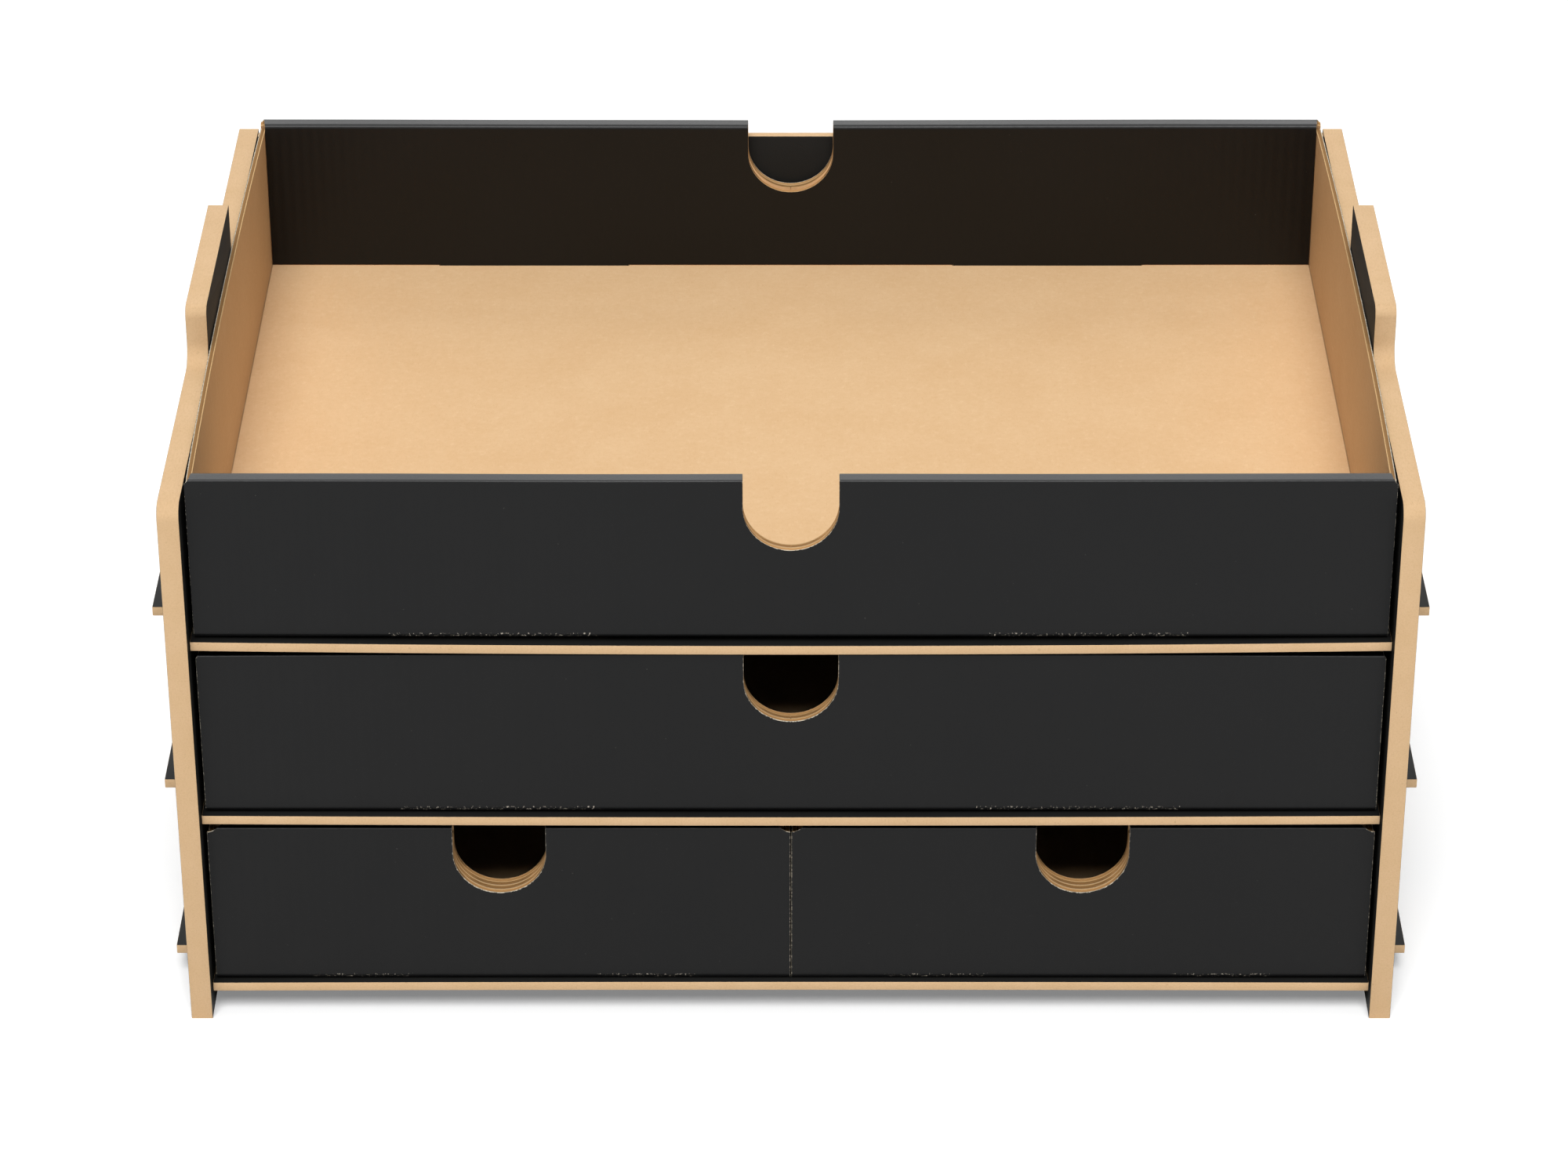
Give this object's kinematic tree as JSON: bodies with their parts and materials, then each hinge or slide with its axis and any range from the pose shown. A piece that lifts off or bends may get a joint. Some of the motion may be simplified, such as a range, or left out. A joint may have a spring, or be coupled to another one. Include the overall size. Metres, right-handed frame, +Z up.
{
  "type": "letter tray stack with drawers",
  "caption": "Desk organiser of plugged boards: an open folded letter tray above sliding folded cardboard drawers with finger notches.",
  "frame": {"origin": "on the floor, in the middle of the footprint", "axes": "+Z up, the drawers pull out towards -Y, +X to the right as seen from the front"},
  "size_m": [0.352, 0.24, 0.1825],
  "materials": {
    "panel_board": "fibreboard, matt black faces and raw tan edges",
    "shelf_board": "thin fibreboard, matt black faces and raw tan edges",
    "folded_board": "fine corrugated board, matt black print outside and raw kraft inside"
  },
  "bodies": {
    "case": {"left_side_panel": "panel_board", "right_side_panel": "panel_board", "bottom_shelf": "shelf_board", "middle_shelf": "shelf_board", "top_shelf": "shelf_board", "back_panel": "shelf_board"},
    "tray": {"top_tray": "folded_board"},
    "wide_drawer": {"middle_drawer": "folded_board"},
    "left_drawer": {"left_small_drawer": "folded_board"},
    "right_drawer": {"right_small_drawer": "folded_board"}
  },
  "joints": [
    {"name": "tray_slide", "type": "slide", "parent": "case", "child": "tray", "axis": [0, -1, 0], "range_m": [0, 0.2]},
    {"name": "wide_drawer_slide", "type": "slide", "parent": "case", "child": "wide_drawer", "axis": [0, -1, 0], "range_m": [0, 0.2]},
    {"name": "left_drawer_slide", "type": "slide", "parent": "case", "child": "left_drawer", "axis": [0, -1, 0], "range_m": [0, 0.2]},
    {"name": "right_drawer_slide", "type": "slide", "parent": "case", "child": "right_drawer", "axis": [0, -1, 0], "range_m": [0, 0.2]}
  ]
}
